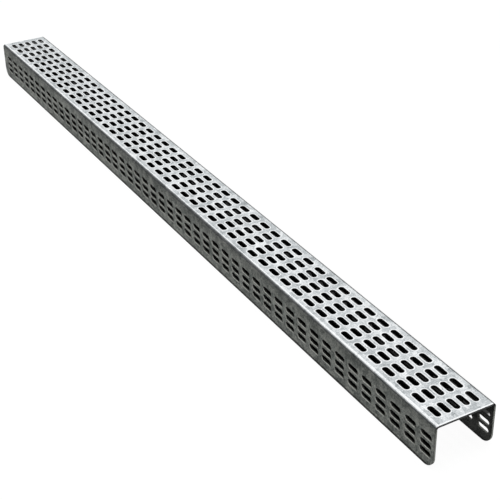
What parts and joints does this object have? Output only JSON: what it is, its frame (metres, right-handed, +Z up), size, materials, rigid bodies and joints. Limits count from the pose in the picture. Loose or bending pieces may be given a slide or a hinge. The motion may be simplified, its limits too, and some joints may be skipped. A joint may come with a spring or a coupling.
{
  "type": "cable tray",
  "caption": "Perforated cable tray: a straight folded channel of galvanised sheet, with rows of lengthwise slots through its web and both flanges.",
  "frame": {"origin": "on the floor under the middle of the tray, which lies open side down on the edges of its flanges", "axes": "+X along the tray towards the end nearest the viewer, +Y across it away from the flange that the picture shows, +Z up through the web"},
  "size_m": [1, 0.062, 0.045],
  "materials": {
    "galvanised_steel": "galvanised sheet steel, matt light grey with a fine mottle and bright sheared edges"
  },
  "bodies": {
    "root": {"tray_channel": "galvanised_steel"}
  },
  "joints": []
}
